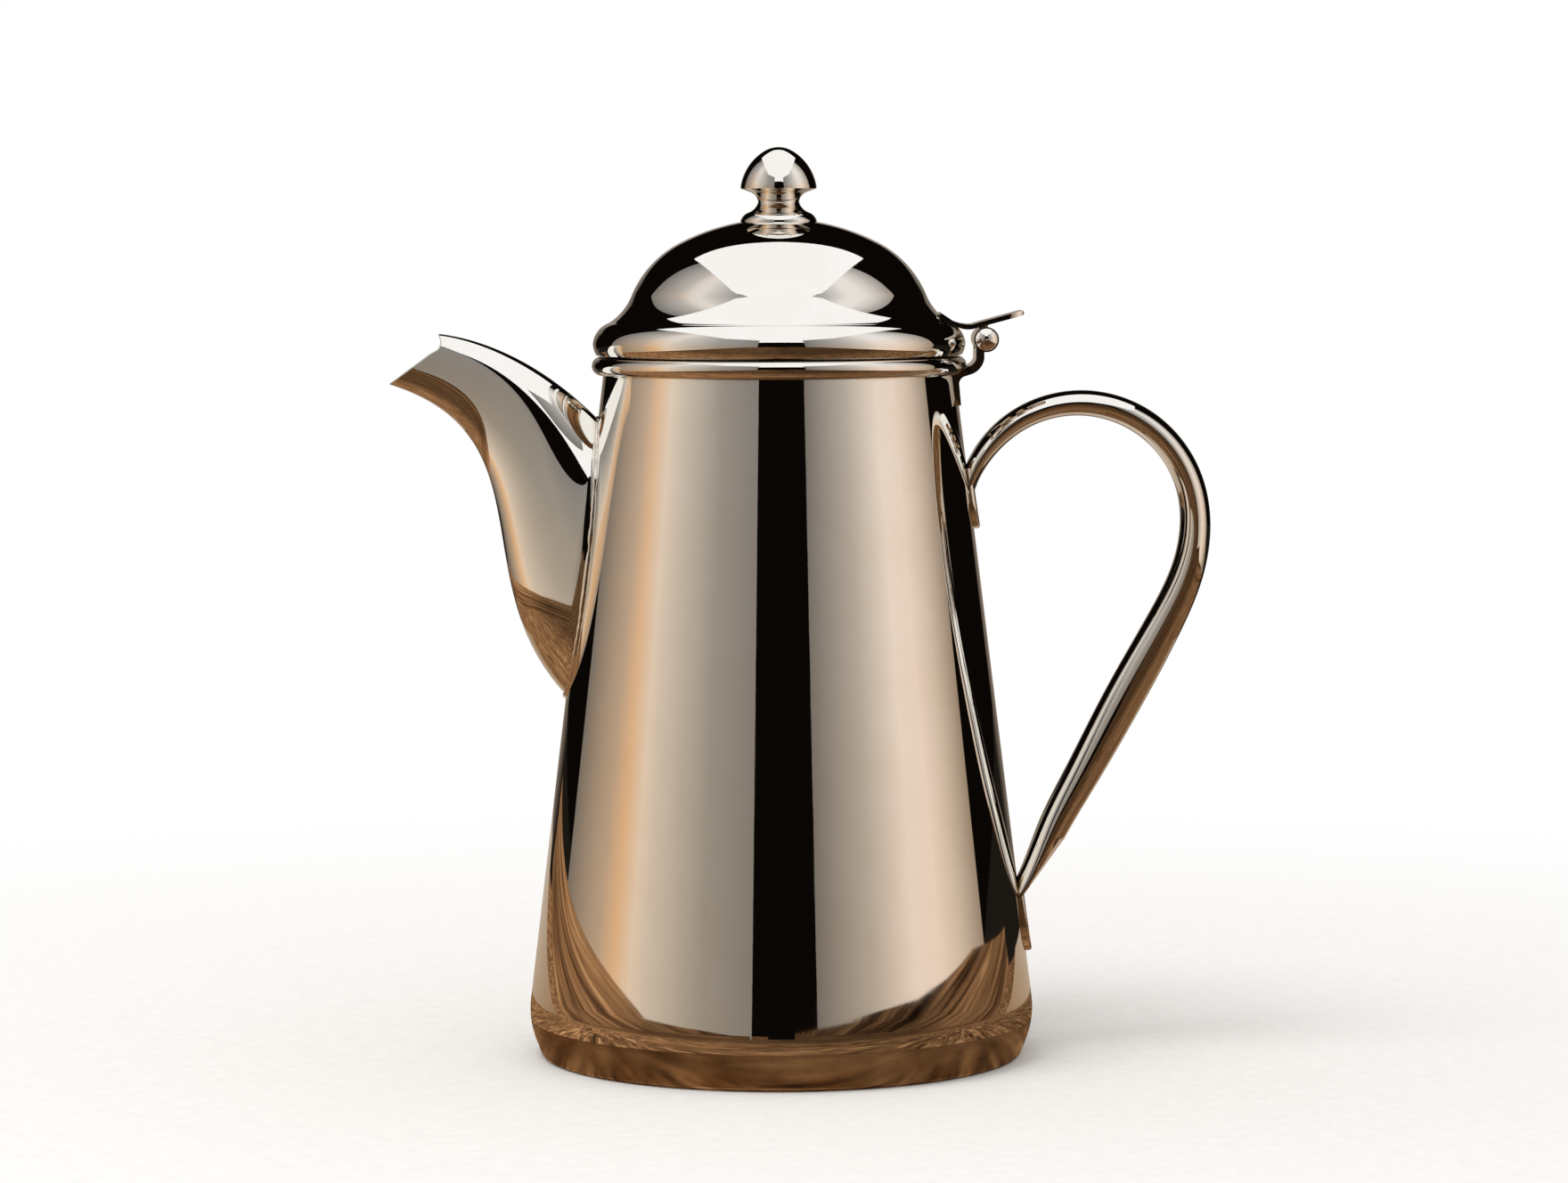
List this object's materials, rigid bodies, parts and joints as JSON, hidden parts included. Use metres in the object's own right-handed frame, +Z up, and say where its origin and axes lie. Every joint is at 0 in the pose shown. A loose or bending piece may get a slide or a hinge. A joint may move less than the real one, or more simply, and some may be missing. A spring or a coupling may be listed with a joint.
{
  "type": "coffee pot",
  "caption": "Polished silver coffee pot: tapered round body with a curved beak spout, a bent tube handle and a hinged domed lid with a knob and a thumb lever.",
  "frame": {"origin": "middle of the round foot, on the table", "axes": "+Z up along the axis of the body, -X towards the spout, +X towards the handle and the hinge"},
  "size_m": [0.1813, 0.1118, 0.2007],
  "materials": {
    "polished_silver": "mirror polished, with faint buffing lines",
    "spun_silver": "bright, with fine spinning rings",
    "turned_brass": "turned, dulled"
  },
  "bodies": {
    "pot": {"body_shell": "polished_silver", "base_plate": "spun_silver", "rim_band": "polished_silver", "spout_near": "polished_silver", "spout_far": "polished_silver", "handle": "polished_silver", "hinge_body_leaf": "polished_silver", "hinge_pin": "polished_silver"},
    "lid": {"lid_dome": "polished_silver", "lid_bezel": "spun_silver", "hinge_lid_leaf": "polished_silver", "knob_stem": "polished_silver", "knob_cap": "polished_silver", "knob_washer": "turned_brass", "knob_screw": "turned_brass"}
  },
  "joints": [
    {"name": "lid_hinge", "type": "hinge", "parent": "pot", "child": "lid", "pos_m": [0.04535, 0, 0.15835], "axis": [0, 1, 0], "range_deg": [0, 110]}
  ]
}
